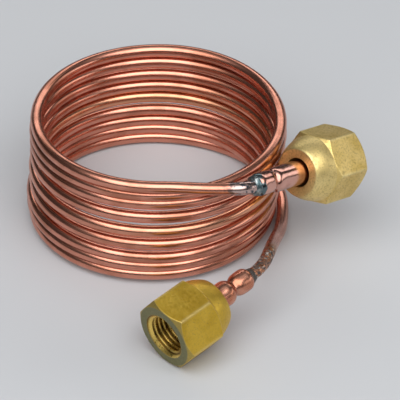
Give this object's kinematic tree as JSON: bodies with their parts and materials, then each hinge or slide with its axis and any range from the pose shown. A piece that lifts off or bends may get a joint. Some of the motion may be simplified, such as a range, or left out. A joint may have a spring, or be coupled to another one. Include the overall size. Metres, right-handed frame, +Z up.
{
  "type": "coiled capillary tube with flare nuts",
  "caption": "Thin copper tube wound in an open coil, each end brazed into a flared copper stub that carries a loose brass hexagon flare nut.",
  "frame": {"origin": "middle of the part's box, on the floor it lies on", "axes": "+Z up along the coil's axis, -Y towards the lower nut, +X towards the upper nut"},
  "size_m": [0.0863, 0.1051, 0.0325],
  "materials": {
    "copper": "bright drawn copper, lightly tarnished",
    "stub_copper": "bright copper with fine scratches along the tube",
    "solder": "grey solder, heat-darkened",
    "brass": "satin forged and turned brass"
  },
  "bodies": {
    "coil": {"capillary_tube": "copper", "upper_stub": "stub_copper", "lower_stub": "stub_copper", "upper_braze": "solder", "lower_braze": "solder"},
    "upper_nut": {"upper_nut": "brass"},
    "lower_nut": {"lower_nut": "brass"}
  },
  "joints": [
    {"name": "upper_nut_turn", "type": "hinge", "parent": "coil", "child": "upper_nut", "pos_m": [0.02532, 0.0004, 0.02524], "axis": [0.6577, 0.7077, -0.2579], "continuous": true},
    {"name": "lower_nut_turn", "type": "hinge", "parent": "coil", "child": "lower_nut", "pos_m": [0.00407, -0.03492, 0.01133], "axis": [-0.7319, -0.6669, -0.14], "continuous": true}
  ]
}
